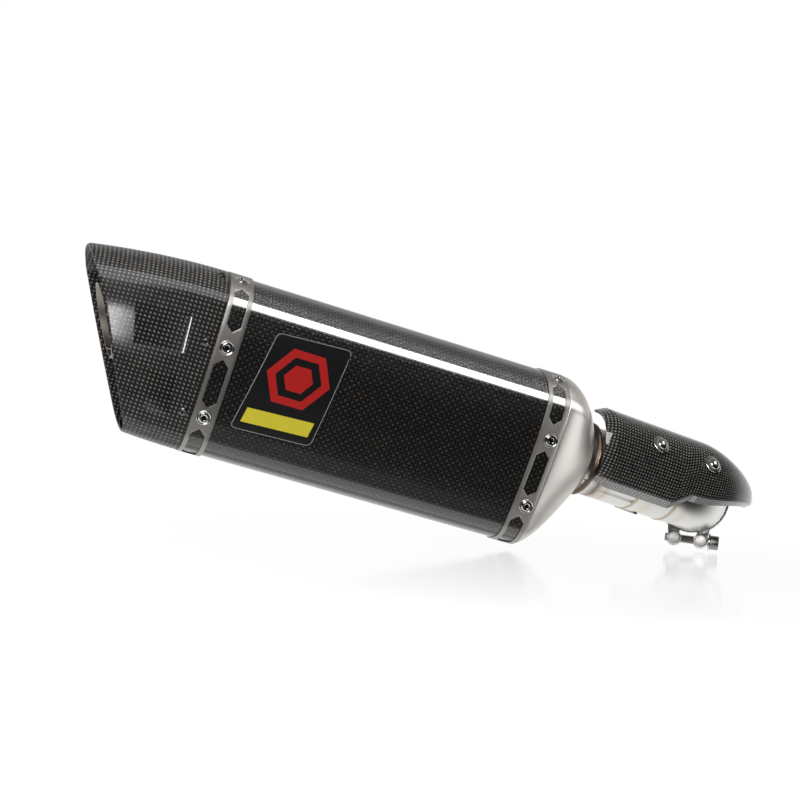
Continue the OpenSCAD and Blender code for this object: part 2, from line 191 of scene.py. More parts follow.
def shield_curve(t):
    """Smooth outline of the shield's outer face, t from 0 at its lower crease to 1 at its top edge."""
    d = max(0.0, min(1.0, t)) * SHIELD_STEPS[-1]
    i = max(j for j in range(len(SHIELD) - 1) if SHIELD_STEPS[j] <= d)
    f = (d - SHIELD_STEPS[i]) / (SHIELD_STEPS[i + 1] - SHIELD_STEPS[i])
    p = [Vector(SHIELD[max(0, min(len(SHIELD) - 1, i + k))]) for k in (-1, 0, 1, 2)]
    square = 2 * p[0] - 5 * p[1] + 4 * p[2] - p[3]
    cube = 3 * p[1] - p[0] - 3 * p[2] + p[3]
    return 0.5 * ((2 * p[1]) + (p[2] - p[0]) * f + square * f * f + cube * f ** 3)


def smooth(a, b, x):
    t = max(0.0, min(1.0, (x - a) / (b - a)))
    return t * t * (3 - 2 * t)


def shield_point(x, t, h=0.0):
    """Point of the shield: x runs along the pipe, t across the face, negative t into the lower return."""
    low = -11.5 + 12.0 * max(0.0, min(1.0, (x - 83) / 15)) + 13 * smooth(96, 190, x)
    t0, hi = 0.0, 0.6
    if shield_curve(0).y < low:
        for _ in range(18):
            mid = (t0 + hi) / 2
            if shield_curve(mid).y < low:
                t0 = mid
            else:
                hi = mid
    if t < 0:
        e = shield_curve(t0)
        q = Vector((e.x + 5.2 * t, e.y + 6.4 * t))
        nrm = Vector((0.78, -0.63))
    else:
        tt = t0 + (1 - t0) * t
        q = shield_curve(tt)
        d = shield_curve(min(1, tt + 0.01)) - shield_curve(max(0, tt - 0.01))
        nrm = Vector((d.y, -d.x)).normalized()
    drop = 15 * smooth(108, 215, x)
    k = max(0.0, q.y / 49)
    q = Vector((q.x, q.y - drop * k))
    # the rear end turns in towards the pipe
    edge = x - (3 - 0.149 * q.y)
    turn_in = 5.4 * max(0.0, 1 - max(0.0, edge) / 11.0) ** 1.12
    q = q + nrm * (h - turn_in)
    if x <= RUN + 14:
        p = Vector((x, -q.x, q.y))
    else:
        a = (x - RUN - 14) / (BEND_R + 40)
        p = Vector((RUN + 14 + (BEND_R + q.x) * math.sin(a), BEND_R - (BEND_R + q.x) * math.cos(a), q.y))
    return LINK @ p


def row(p):
    return (Vector(p) - MOUTH) * MM


# ---------------------------------------------------------------- modelling helpers
def clear():
    if bpy.context.object and bpy.context.object.mode != "OBJECT":
        bpy.ops.object.mode_set(mode="OBJECT")
    bpy.ops.object.select_all(action="DESELECT")


def only(ob):
    clear()
    ob.hide_set(False)
    ob.select_set(True)
    bpy.context.view_layer.objects.active = ob


def modify(ob, kind, **settings):
    only(ob)
    m = ob.modifiers.new(kind.lower(), kind)
    for k, v in settings.items():
        setattr(m, k, v)
    bpy.ops.object.modifier_apply(modifier=m.name)


def shade(ob, angle=30):
    only(ob)
    bpy.ops.object.shade_smooth_by_angle(angle=math.radians(angle))


def edit(ob, **steps):
    """Runs mesh operators, each named with its settings, on the whole of a piece."""
    only(ob)
    bpy.ops.object.mode_set(mode="EDIT")
    bpy.ops.mesh.select_all(action="SELECT")
    for step, settings in steps.items():
        getattr(bpy.ops.mesh, step)(**settings)
    bpy.ops.object.mode_set(mode="OBJECT")


def outwards(ob):
    edit(ob, remove_doubles={"threshold": 1e-6}, normals_make_consistent={"inside": False})


def ring_skin(name, rings, weave=None):
    """A circle laid on the first ring and extruded from ring to ring. weave gives a place's pattern coordinates."""
    clear()
    n = len(rings[0])
    bpy.ops.mesh.primitive_circle_add(vertices=n, radius=0.05, fill_type="NOTHING")
    ob = bpy.context.object
    ob.name = name
    place = {}
    for k, v in enumerate(ob.data.vertices):
        v.co = rings[0][k]
        place[k] = (0, k)
    bpy.ops.object.mode_set(mode="EDIT")
    bpy.ops.mesh.select_all(action="SELECT")
    last = [Vector(p) for p in rings[0]]
    for j, ring in enumerate(rings[1:], 1):
        bpy.ops.mesh.extrude_edges_move()
        bm = bmesh.from_edit_mesh(ob.data)
        bm.verts.ensure_lookup_table()
        bm.verts.index_update()
        new = [v for v in bm.verts if v.select]
        key = {tuple(round(c, 7) for c in p): k for k, p in enumerate(last)}
        for v in new:
            k = key.get(tuple(round(c, 7) for c in v.co))
            if k is None:
                k = min(range(n), key=lambda i: (last[i] - v.co).length_squared)
            v.co = ring[k]
            place[v.index] = (j, k)
        bmesh.update_edit_mesh(ob.data)
        bm.verts.ensure_lookup_table()
        last = [None] * n
        for v in new:
            last[place[v.index][1]] = v.co.copy()
    bpy.ops.object.mode_set(mode="OBJECT")
    if weave:
        uv = ob.data.uv_layers.new(name="weave")
        for face in ob.data.polygons:
            ks = [place[v][1] for v in face.vertices]
            wrap = max(ks) - min(ks) > n / 2
            for li, v in zip(face.loop_indices, face.vertices):
                j, k = place[v]
                uv.data[li].uv = weave(j, k + n if wrap and k < n / 2 else k)
    return ob


def sheet_skin(name, nu, nv, place, weave):
    """A grid of nu by nv quads, each corner moved to place(u, v) with u and v from 0 to 1."""
    clear()
    bpy.ops.mesh.primitive_grid_add(x_subdivisions=nu, y_subdivisions=nv, size=1)
    ob = bpy.context.object
    ob.name = name
    uv = ob.data.uv_layers.get("weave") or ob.data.uv_layers.new(name="weave")
    flat = [(v.co.x + 0.5, v.co.y + 0.5) for v in ob.data.vertices]
    for face in ob.data.polygons:
        for li, v in zip(face.loop_indices, face.vertices):
            uv.data[li].uv = weave(*flat[v])
    for v, (a, b) in zip(ob.data.vertices, flat):
        v.co = place(a, b)
    drop_other_maps(ob)
    return ob


def drop_other_maps(ob):
    for layer in [u for u in ob.data.uv_layers if u.name != "weave"]:
        ob.data.uv_layers.remove(layer)


def outline(name, corners):
    """A flat face drawn from its corners, looking up."""
    clear()
    bpy.ops.mesh.primitive_circle_add(vertices=len(corners), radius=0.05, fill_type="NGON")
    ob = bpy.context.object
    ob.name = name
    for v, (x, y) in zip(ob.data.vertices, corners):
        v.co = (x, y, 0)
    face_up(ob)
    return ob


def outline_plate(name, corners, thick, cut):
    """A flat plate drawn from its corners, cut into small faces so that it can be wrapped, and thickened upwards."""
    ob = outline(name, corners)
    slice_flat(ob, cut)
    if thick:
        modify(ob, "SOLIDIFY", thickness=thick, offset=1, use_even_offset=False)
    return ob


def face_up(ob):
    if ob.data.polygons[0].normal.z < 0:
        edit(ob, flip_normals={})


def slice_flat(ob, cut):
    """Cuts a flat outline along Y at a steady pitch, so that it bends evenly."""
    only(ob)
    ys = [v.co.y for v in ob.data.vertices]
    bpy.ops.object.mode_set(mode="EDIT")
    y = math.floor(min(ys) / cut) * cut + cut
    while y < max(ys):
        bpy.ops.mesh.select_all(action="SELECT")
        bpy.ops.mesh.bisect(plane_co=(0, y, 0), plane_no=(0, 1, 0))
        y += cut
    bpy.ops.object.mode_set(mode="OBJECT")


def chamfered_plate(name, corners, high, wide):
    """A closed plate drawn from its corners, with a chamfer all round its top, cut so that it can be wrapped."""
    ob = outline(name, corners)
    modify(ob, "SOLIDIFY", thickness=high, offset=1)
    only(ob)
    bpy.ops.object.mode_set(mode="EDIT")
    bm = bmesh.from_edit_mesh(ob.data)
    bpy.ops.mesh.select_all(action="DESELECT")
    bpy.ops.mesh.select_mode(type="FACE")
    for f in bm.faces:
        f.select_set(f.normal.z > 0.9)
    bmesh.update_edit_mesh(ob.data)
    bpy.ops.mesh.inset(thickness=wide, depth=0)
    bm = bmesh.from_edit_mesh(ob.data)
    for v in bm.verts:
        # the outline's own top edge drops to the cloth, and the inset face stays high
        if v.co.z > high / 2 and not v.select:
            v.co.z = high * 0.25
    bmesh.update_edit_mesh(ob.data)
    bpy.ops.object.mode_set(mode="OBJECT")
    slice_flat(ob, 3)
    return ob


def scale_maps(ob):
    """Pattern coordinates drawn in millimetres become metres."""
    for d in ob.data.uv_layers["weave"].data:
        d.uv = (d.uv[0] * MM, d.uv[1] * MM)


def wrap(ob, surface, lift=0.0):
    """Lays a flat piece on a surface: X is the station, Y the distance from the ridge and Z the height."""
    uv = ob.data.uv_layers.get("weave") or ob.data.uv_layers.new(name="weave")
    for loop in ob.data.loops:
        c = ob.data.vertices[loop.vertex_index].co
        uv.data[loop.index].uv = (c.x, c.y)
    for v in ob.data.vertices:
        v.co = row(surface(v.co.x, v.co.y, v.co.z + lift))
    drop_other_maps(ob)
    return ob


def rounded(corners, r, steps=5):
    """The corners of an outline with each turned into a short arc."""
    out = []
    n = len(corners)
    for i in range(n):
        p, a, b = Vector(corners[i]), Vector(corners[i - 1]), Vector(corners[(i + 1) % n])
        s, e = p + (a - p).normalized() * r, p + (b - p).normalized() * r
        for k in range(steps + 1):
            t = k / steps
            q = s * (1 - t) ** 2 + p * 2 * t * (1 - t) + e * t * t
            out.append((q.x, q.y))
    return out


def finish_piece(ob, body, mat, slot, *nodes):
    """Gives a piece its finish and its body, and hides the frame's nodes that it stands for. slot is not used."""
    if len(ob.data.materials):
        # clearing an empty list would still put every face back on the first finish
        ob.data.materials.clear()
    for m in mat if isinstance(mat, (list, tuple)) else [mat]:
        ob.data.materials.append(m)
    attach(ob, body)
    if nodes:
        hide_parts(*nodes)
    return ob


def turned(name, profile, place, n=48, facets=None):
    """(height, radius) pairs spun round their axis and set down by a placing matrix. facets bends a ring."""
    rings = []
    for i, (z, r) in enumerate(profile):
        ring = []
        for k in range(n):
            a = 2 * math.pi * k / n
            rr = facets(i, a, r) if facets else r
            ring.append(row(place @ Vector((max(rr, 0.004) * math.cos(a), max(rr, 0.004) * math.sin(a), z))))
        rings.append(ring)
    ob = ring_skin(name, rings)
    outwards(ob)
    return ob


def rivet_spots(s, shift):
    """Places of the six fasteners round the can. All but the top pair take the shift."""
    return [(s, side * (d - (shift if d > RIVETS_AT[0] else 0))) for d in RIVETS_AT for side in (-1, 1)]


def stand(s, w, surface, h=0.0):
    """The placing matrix of a fastener that stands on a surface at station s and distance w from the ridge."""
    o = surface(s, w, h)
    along = (surface(s + 0.5, w, h) - surface(s - 0.5, w, h)).normalized()
    round_ = (surface(s, w + 0.5, h) - surface(s, w - 0.5, h)).normalized()
    up = along.cross(round_).normalized()
    if up.dot(surface(s, w, h + 1) - o) < 0:
        up = -up
    m = Matrix((along, up.cross(along), up)).transposed().to_4x4()
    m.translation = o
    return m


def joined(name, pieces):
    clear()
    for o in pieces:
        o.select_set(True)
    bpy.context.view_layer.objects.active = pieces[0]
    if len(pieces) > 1:
        bpy.ops.object.join()
    ob = bpy.context.object
    ob.name = name
    return ob


def clean_copy(node, name, mat, slot, body="muffler", angle=30, edge=0.0):
    """A merged, smoothed copy of a frame node, with its sharp edges eased."""
    src = NODES[node]
    ob = bpy.data.objects.new(name, src.data.copy())
    bpy.context.scene.collection.objects.link(ob)
    edit(ob, remove_doubles={"threshold": 2e-6}, dissolve_limited={"angle_limit": math.radians(0.5)})
    if edge:
        modify(ob, "BEVEL", width=edge, segments=2, limit_method="ANGLE", angle_limit=math.radians(45),
            use_clamp_overlap=True, harden_normals=False)
    shade(ob, angle)
    return finish_piece(ob, body, mat, slot, node)


# ---------------------------------------------------------------- shader maths
class Sock:
    """A socket, or a number, that can be added, multiplied and compared."""

    def __init__(self, fin, out):
        self.fin, self.out = fin, out

    def _do(self, op, *others):
        return self.fin.node("ShaderNodeMath", {"operation": op}, self, *others)

    def __add__(self, o): return self._do("ADD", o)
    def __radd__(self, o): return self._do("ADD", o)
    def __sub__(self, o): return self._do("SUBTRACT", o)
    def __rsub__(self, o): return self.fin.node("ShaderNodeMath", {"operation": "SUBTRACT"}, o, self)
    def __mul__(self, o): return self._do("MULTIPLY", o)
    def __rmul__(self, o): return self._do("MULTIPLY", o)
    def __truediv__(self, o): return self._do("DIVIDE", o)
    def __pow__(self, o): return self._do("POWER", o)
    def __gt__(self, o): return self._do("GREATER_THAN", o)
    def __lt__(self, o): return self._do("LESS_THAN", o)
    def floor(self): return self._do("FLOOR")
    def fract(self): return self._do("FRACT")
    def abs(self): return self._do("ABSOLUTE")
    def sin(self): return self._do("SINE")
    def clip(self):
        r = self._do("ADD", 0.0)
        r.out.node.use_clamp = True
        return r


class Finish:
    """One procedural material."""

    def __init__(self, name, **constants):
        self.mat = bpy.data.materials.new(name)
        self.mat.use_nodes = True
        self.tree = self.mat.node_tree
        self.shader = self.tree.nodes["Principled BSDF"]
        for k, v in constants.items():
            self.shader.inputs[k.replace("_", " ")].default_value = v

    def node(self, kind, settings, *values, **named):
        n = self.tree.nodes.new(kind)
        for k, v in settings.items():
            if k == "ramp":
                ends = n.color_ramp.elements
                while len(ends) < len(v):
                    ends.new(0.5)
                for e, (pos, col) in zip(ends, v):
                    e.position = pos
                    e.color = (*col, 1) if len(col) == 3 else col
            else:
                setattr(n, k, v)
        for key, v in list(enumerate(values)) + [(k.replace("_", " "), v) for k, v in named.items()]:
            if isinstance(v, Sock):
                self.tree.links.new(v.out, n.inputs[key])
            elif v is not None:
                n.inputs[key].default_value = v
        outs = [o for o in n.outputs if o.enabled]
        return Sock(self, outs[0])

    def other(self, sock, name):
        return Sock(self, sock.out.node.outputs[name])

    def put(self, **sockets):
        for k, v in sockets.items():
            self.tree.links.new(v.out, self.shader.inputs[k.replace("_", " ")])
        return self.mat

    def object_place(self):
        return self.other(self.node("ShaderNodeTexCoord", {}), "Object")

    def split(self, vec):
        s = self.node("ShaderNodeSeparateXYZ", {}, vec)
        return s, self.other(s, "Y"), self.other(s, "Z")

    def noise(self, scale, detail=3.0, vec=None, stretch=None):
        vec = vec or self.object_place()
        if stretch:
            vec = self.node("ShaderNodeMapping", {}, vec, Scale=stretch)
        return self.node("ShaderNodeTexNoise", {}, vec, Scale=scale, Detail=detail, Roughness=0.55)

    def blend(self, f, a, b):
        n = self.tree.nodes.new("ShaderNodeMix")
        n.data_type = "RGBA"
        for key, v in (("Factor", f), ("A", a), ("B", b)):
            s = [i for i in n.inputs if i.name == key and i.enabled][0]
            if isinstance(v, Sock):
                self.tree.links.new(v.out, s)
            else:
                s.default_value = (*v, 1) if isinstance(v, tuple) and len(v) == 3 else v
        return Sock(self, [o for o in n.outputs if o.enabled][0])

    def bump(self, height, strength, distance):
        return self.node("ShaderNodeBump", {}, Strength=strength, Distance=distance, Height=height)


class Surround(Finish):
    """The world's own node tree, written in the same way."""

    def __init__(self, tree):
        self.tree = tree


def carbon(name, pitch_u, pitch_v, angle, dark, light, glint_tint, cross, **constants):
    """Plain weave: tows cross over and under one another; the tows of one direction, which catch the light on the
    real cloth, are painted lighter in the base colour as a painted glint.
    """
    f = Finish(name, **constants)
    uv = f.node("ShaderNodeUVMap", {"uv_map": "weave"})
    u, v, _ = f.split(uv)
    # tows wander a little, as laid cloth does
    wander = (f.noise(22, 1.0, uv) - 0.5) * 0.0009
    u = u + wander
    c, s = math.cos(math.radians(angle)), math.sin(math.radians(angle))
    a = (u * c + v * s) / pitch_u
    b = (v * c - u * s) / pitch_v
    la, lb = a.fract() - 0.5, b.fract() - 0.5
    par = ((a.floor() + b.floor()) * 0.5).fract() * 2
    dome_a, dome_b = 1 - (la * la) * 4, 1 - (lb * lb) * 4
    dome = dome_a * dome_b
    thin = 1.5 + cross * 3
    over = (dome_a * 1.5 - 0.15).clip() * (dome_b * thin - thin * 0.42 + 0.12).clip() * (1 - par)
    under = (dome_b * 1.5 - 0.15).clip() * (dome_a * thin - thin * 0.42 + 0.12).clip() * par
    tow = f.node("ShaderNodeTexWhiteNoise", {"noise_dimensions": "1D"}, None, b.floor() + a.floor() * 0.37)
    cloud = f.noise(30, 2.0, uv)
    # lit is the painted glint: the over tows, and through cross a little of the under tows, are painted lighter
    lit = over * (0.55 + f.other(tow, "Value") * 0.5) * (0.6 + cloud * 0.8) + under * cross
    col = f.blend(lit.clip(), dark, light)
    # some tows' painted glints are mixed towards a brown glint tint
    col = f.blend((f.other(tow, "Value") > 0.72) * over * 0.6, col, glint_tint)
    fibres = (((lb * 46).sin() * (1 - par)) + ((la * 46).sin() * par)) * 0.06
    return f.put(Base_Color=col, Normal=f.bump(dome + fibres, 0.6, pitch_u * 0.1))


def metal(name, colour, rough, grain=(1, 1, 1), grain_scale=900, depth=0.25, patch=0.12, **constants):
    f = Finish(name, Metallic=1.0, **constants)
    g = f.noise(grain_scale, 2.0, stretch=grain)
    big = f.noise(16, 3.0)
    lo, hi = tuple(c * (1 - patch) for c in colour), tuple(min(1.0, c * (1 + patch)) for c in colour)
    return f.put(Base_Color=f.blend(big, lo, hi), Roughness=(big * 0.16 + g * 0.1 + (rough - 0.13)).clip(),
        Normal=f.bump(g, depth, 0.00004))


def pipe_metal(name, colour, tints, rough=0.3):
    """Bright stainless with straw and brown heat bands at stations along X."""
    f = Finish(name, Metallic=1.0)
    x, y, _ = f.split(f.object_place())
    wob = (f.noise(60, 2.0) - 0.5) * 0.006
    col = f.blend(f.noise(25, 3.0), tuple(c * 0.93 for c in colour), colour)
    for at, width, shade_, strength in tints:
        near = (1 - ((x + y * 0.16 + wob - at).abs() / width)).clip()
        col = f.blend(near * near * strength, col, shade_)
    g = f.noise(500, 2.0, stretch=(6, 1, 1))
    return f.put(Base_Color=col, Roughness=(g * 0.12 + rough - 0.06).clip(), Normal=f.bump(g, 0.12, 0.00004))


MATS = {}


def make_finishes(p, w):
    """All the finishes, from the user's colours and the width of a tow."""
    # in each carbon the colour after the dark one, and the tint after that, are the painted glint of the lit tows
    MATS["gloss_carbon"] = carbon("gloss_carbon", w, w * 0.93, 0, (0.003, 0.003, 0.0034), (0.06, 0.055, 0.05),
        (0.075, 0.052, 0.036), 0.22, Roughness=0.3, Specular_IOR_Level=0.1, Coat_Weight=1.0,
        Coat_Roughness=0.02, Coat_IOR=1.5)
    MATS["shield_carbon"] = carbon("shield_carbon", w * 0.68, w * 0.68, 45, (0.004, 0.004, 0.0045),
        (0.42, 0.4, 0.37), (0.26, 0.24, 0.2), 0.06, Roughness=0.3, Specular_IOR_Level=0.14, Coat_Weight=1.0,
        Coat_Roughness=0.04, Coat_IOR=1.75)
    MATS["satin_carbon"] = carbon("satin_carbon", w * 0.83, w * 0.83, 45, (0.003, 0.003, 0.0035),
        (0.3, 0.28, 0.26), (0.2, 0.18, 0.16), 0.06, Roughness=0.4, Specular_IOR_Level=0.08, Coat_Weight=0.45,
        Coat_Roughness=0.16)
    MATS["panel_carbon"] = carbon("panel_carbon", w * 0.83, w * 0.83, 45, (0.003, 0.003, 0.0035),
        (0.3, 0.28, 0.26), (0.2, 0.18, 0.16), 0.06, Roughness=0.35, Specular_IOR_Level=0.1, Coat_Weight=0.9,
        Coat_Roughness=0.06)
    t = tuple(p.titanium)
    MATS["titanium_satin"] = metal("titanium_satin", t, 0.42)
    # the cone's titanium is a lit copy of the bands', 1.7 times as bright: painted light for the brighter light on
    # the cone
    MATS["cone_titanium_lit"] = metal("cone_titanium_lit", tuple(min(1, c * 1.7) for c in t), 0.38, grain=(1, 1, 1),
        patch=0.04)
    s = tuple(p.stainless)
    MATS["stainless_bright"] = pipe_metal("stainless_bright", s, [])
    MATS["neck_tinted"] = pipe_metal("neck_tinted", s,
        [(-0.157, 0.012, (0.16, 0.11, 0.07), 0.95), (-0.146, 0.008, (0.55, 0.42, 0.25), 0.6),
        (-0.101, 0.010, (0.7, 0.6, 0.42), 0.5)])
    MATS["link_tinted"] = pipe_metal("link_tinted", s,
        [(-0.101, 0.009, (0.7, 0.6, 0.42), 0.5), (-0.0635, 0.009, (0.7, 0.6, 0.42), 0.5)])
    MATS["stainless_polished"] = metal("stainless_polished", (0.82, 0.81, 0.79), 0.16, depth=0.05, patch=0.03)
    MATS["weld_bead"] = metal("weld_bead", (0.62, 0.54, 0.4), 0.34, depth=0.4)
    MATS["black_steel"] = metal("black_steel", (0.2, 0.195, 0.19), 0.27, depth=0.1)
    MATS["collar_tinted"] = metal("collar_tinted", (0.2, 0.155, 0.115), 0.3, depth=0.1, patch=0.3)
    MATS["barrel_steel"] = metal("barrel_steel", (0.9, 0.88, 0.86), 0.42, depth=0.1, patch=0.04)
    # near-black for the discs in the rivets' bores: painted shade for the dark holes
    MATS["painted_bore_shade"] = metal("painted_bore_shade", (0.012, 0.011, 0.01), 0.7, depth=0.1)
    MATS["bolt_steel"] = metal("bolt_steel", (0.36, 0.35, 0.34), 0.34, depth=0.2)
    MATS["inner_steel"] = metal("inner_steel", (0.34, 0.31, 0.28), 0.45, depth=0.4, patch=0.3)
    for name, col, rough in (("badge_black", (0.012, 0.012, 0.013), 0.3),
        ("badge_red", (0.66, 0.022, 0.02), 0.35), ("badge_yellow", (1.0, 0.86, 0.06), 0.35),
        ("badge_edge", (0.45, 0.45, 0.45), 0.3)):
        f = Finish(name, Coat_Weight=0.5, Coat_Roughness=0.08)
        n = f.noise(240, 2.0)
        MATS[name] = f.put(Base_Color=f.blend(n, tuple(c * 0.9 for c in col), col),
            Roughness=(n * 0.1 + rough - 0.05).clip(), Normal=f.bump(n, 0.05, 0.00003))
    f = Finish("wool", Roughness=0.9)
    n = f.noise(300, 4.0, stretch=(0.2, 1, 1))
    MATS["wool"] = f.put(Base_Color=f.blend(n, (0.5, 0.46, 0.33), (0.85, 0.8, 0.62)),
        Normal=f.bump(n, 0.8, 0.0005))


# ---------------------------------------------------------------- settings
class SilencerSizes(bpy.types.PropertyGroup):
    rings: bpy.props.IntProperty(name="Facets round", description="Facets round the can's skins", default=288,
        min=96, max=480)
    weave: bpy.props.FloatProperty(name="Tow pitch",
        description="Width of one tow of the sleeve's cloth, in millimetres", default=3.0, min=1.5, max=5)
    window_length: bpy.props.FloatProperty(name="Window length",
        description="Length of each window in the bands, in millimetres", default=42.0, min=20, max=50)
    window_width: bpy.props.FloatProperty(name="Window width",
        description="Width of each window in the bands, in millimetres", default=12.0, min=6, max=15)
    thread_pitch: bpy.props.FloatProperty(name="Thread pitch",
        description="Pitch of the clamp bolt's thread, in millimetres", default=1.25, min=0.8, max=2)


class SilencerColours(bpy.types.PropertyGroup):
    titanium: bpy.props.FloatVectorProperty(name="Titanium", description="Colour of the bands and the cone",
        subtype="COLOR", default=(0.40, 0.38, 0.36), min=0, max=1)
    stainless: bpy.props.FloatVectorProperty(name="Stainless", description="Colour of the link pipe",
        subtype="COLOR", default=(0.82, 0.81, 0.785), min=0, max=1)


# ---------------------------------------------------------------- operators
class SILENCER_OT_finishes(bpy.types.Operator):
    """Makes the carbon, titanium, stainless and print finishes"""
    bl_idname = "silencer.finishes"
    bl_label = "Finishes"

    def execute(self, context):
        make_finishes(context.scene.silencer_colours, context.scene.silencer_sizes.weave * MM)
        return {"FINISHED"}


class SILENCER_OT_sleeve(bpy.types.Operator):
    """Builds the carbon sleeve between the two bands"""
    bl_idname = "silencer.sleeve"
    bl_label = "Carbon sleeve"

    def execute(self, context):
        n = context.scene.silencer_sizes.rings
        stations = [1, 60, 120, 180, 240, CAN - 1]
        rings = [[row(on_can(s, GIRTH * k / n, -BAND_WALL)) for k in range(n)] for s in stations]
        ob = ring_skin("sleeve_skin", rings, lambda j, k: (stations[j] * MM, GIRTH * k / n * MM))
        outwards(ob)
        modify(ob, "SOLIDIFY", thickness=SLEEVE_WALL * MM, offset=-1)
        shade(ob, 40)
        finish_piece(ob, "muffler", MATS["gloss_carbon"], "gloss_carbon", "outer_sleeve")
        return {"FINISHED"}


class SILENCER_OT_bands(bpy.types.Operator):
    """Builds the two retaining bands with their six-sided windows"""
    bl_idname = "silencer.bands"
    bl_label = "Retaining bands"

    def execute(self, context):
        p = context.scene.silencer_sizes
        for name, s0, shift, node in (("rear_strap", 0.0, 0.0, "rear_band"),
            ("front_strap", CAN - BAND, FRONT_SHIFT, "front_band")):
            clear()
            bpy.ops.mesh.primitive_grid_add(x_subdivisions=6, y_subdivisions=p.rings, size=1)
            ob = bpy.context.object
            ob.name = name
            for v in ob.data.vertices:
                v.co = (s0 + (v.co.x + 0.5) * BAND, v.co.y * GIRTH, 0)
            modify(ob, "SOLIDIFY", thickness=BAND_WALL, offset=1)
            half_l, half_w = p.window_length / 2, p.window_width / 2
            cutters = []
            for d in WINDOWS_AT:
                for side in (-1, 1):
                    clear()
                    bpy.ops.mesh.primitive_cylinder_add(vertices=6, radius=1, depth=6)
                    c = bpy.context.object
                    hexagon = [(0, half_l), (half_w, half_l - 5.5), (half_w, 5.5 - half_l), (0, -half_l),
                        (-half_w, 5.5 - half_l), (-half_w, half_l - 5.5)]
                    order = sorted(range(12),
                        key=lambda i: (c.data.vertices[i].co.z > 0,
                        -math.atan2(c.data.vertices[i].co.x, c.data.vertices[i].co.y)))
                    order = {v: i % 6 for i, v in enumerate(order)}
                    ring = sorted(hexagon, key=lambda q: -math.atan2(q[0], q[1]))
                    for v in c.data.vertices:
                        x, y = ring[order[v.index]]
                        v.co = (s0 + BAND / 2 + x, side * (d - shift) + y, v.co.z)
                    cutters.append(c)
            clear()
            for c in cutters:
                c.select_set(True)
            bpy.context.view_layer.objects.active = cutters[0]
            bpy.ops.object.join()
            cut = bpy.context.object
            outwards(cut)
            outwards(ob)
            modify(ob, "BOOLEAN", operation="DIFFERENCE", object=cut, solver="EXACT")
            bpy.data.objects.remove(cut)
            modify(ob, "BEVEL", width=0.28, segments=2, limit_method="ANGLE", angle_limit=math.radians(50))
            wrap(ob, on_can, -BAND_WALL)
            outwards(ob)
            shade(ob, 35)
            finish_piece(ob, "muffler", MATS["titanium_satin"], "titanium_satin", node)
        return {"FINISHED"}


class SILENCER_OT_cap(bpy.types.Operator):
    """Builds the slanted end cap and its two raised panels"""
    bl_idname = "silencer.cap"
    bl_label = "End cap"

    def execute(self, context):
        n = context.scene.silencer_sizes.rings
        m = 26
        edges = [cap_edge(GIRTH * k / n) for k in range(n)]
        rings = [[row(on_cap(-0.1 + (edges[k] + 0.1) * j / m, GIRTH * k / n,
            0)) for k in range(n)] for j in range(m + 1)]
        ob = ring_skin("cap_skin", rings, lambda j,
            k: ((-0.1 + (edges[k % n] + 0.1) * j / m) * MM, GIRTH * k / n * MM))
        outwards(ob)
        modify(ob, "SOLIDIFY", thickness=0.0022, offset=-1)
        modify(ob, "BEVEL", width=0.0007, segments=3, limit_method="ANGLE", angle_limit=math.radians(45))
        shade(ob, 40)
        finish_piece(ob, "muffler", MATS["satin_carbon"], "satin_carbon", "end_cap")
        for name, corners in (
            ("cap_panel_upper", [(-70, 33), (-24, 33), (-22, 0), (-62, -3)]),
            ("cap_panel_lower", [(-46, -17), (-22, -17), (-19, -50), (-37, -53)]),
        ):
            flat = rounded([(x, girth_at(z)) for x, z in corners], 2.0, 4)
            pan = chamfered_plate(name, flat[::-1], 1.3, 2.2)
            wrap(pan, on_cap, -0.3)
            scale_maps(pan)
            outwards(pan)
            shade(pan, 40)
            finish_piece(pan, "muffler", MATS["panel_carbon"], "satin_carbon")
        return {"FINISHED"}


class SILENCER_OT_cone(bpy.types.Operator):
    """Builds the inlet cone from the can's section to the round throat"""
    bl_idname = "silencer.cone"
    bl_label = "Inlet cone"

    def execute(self, context):
        n = context.scene.silencer_sizes.rings
        m = 30
        prof = [(CAN + 0.02, -1.4), (CAN + 0.15, -0.7),
            (CAN + 0.6, -0.35)] + [(CAN + 0.6 + 38.2 * j / m, -0.35) for j in range(1, m + 1)]
        prof += [(CAN + 39.0, -0.9), (CAN + 39.1, -1.5)]
        rings = [[row(on_cone(s, GIRTH * k / n, h)) for k in range(n)] for s, h in prof]
        ob = ring_skin("cone_skin", rings)
        outwards(ob)
        modify(ob, "SOLIDIFY", thickness=0.0012, offset=-1)
        shade(ob, 60)
        finish_piece(ob, "muffler", MATS["cone_titanium_lit"], "titanium_satin", "inlet_cone")
        return {"FINISHED"}


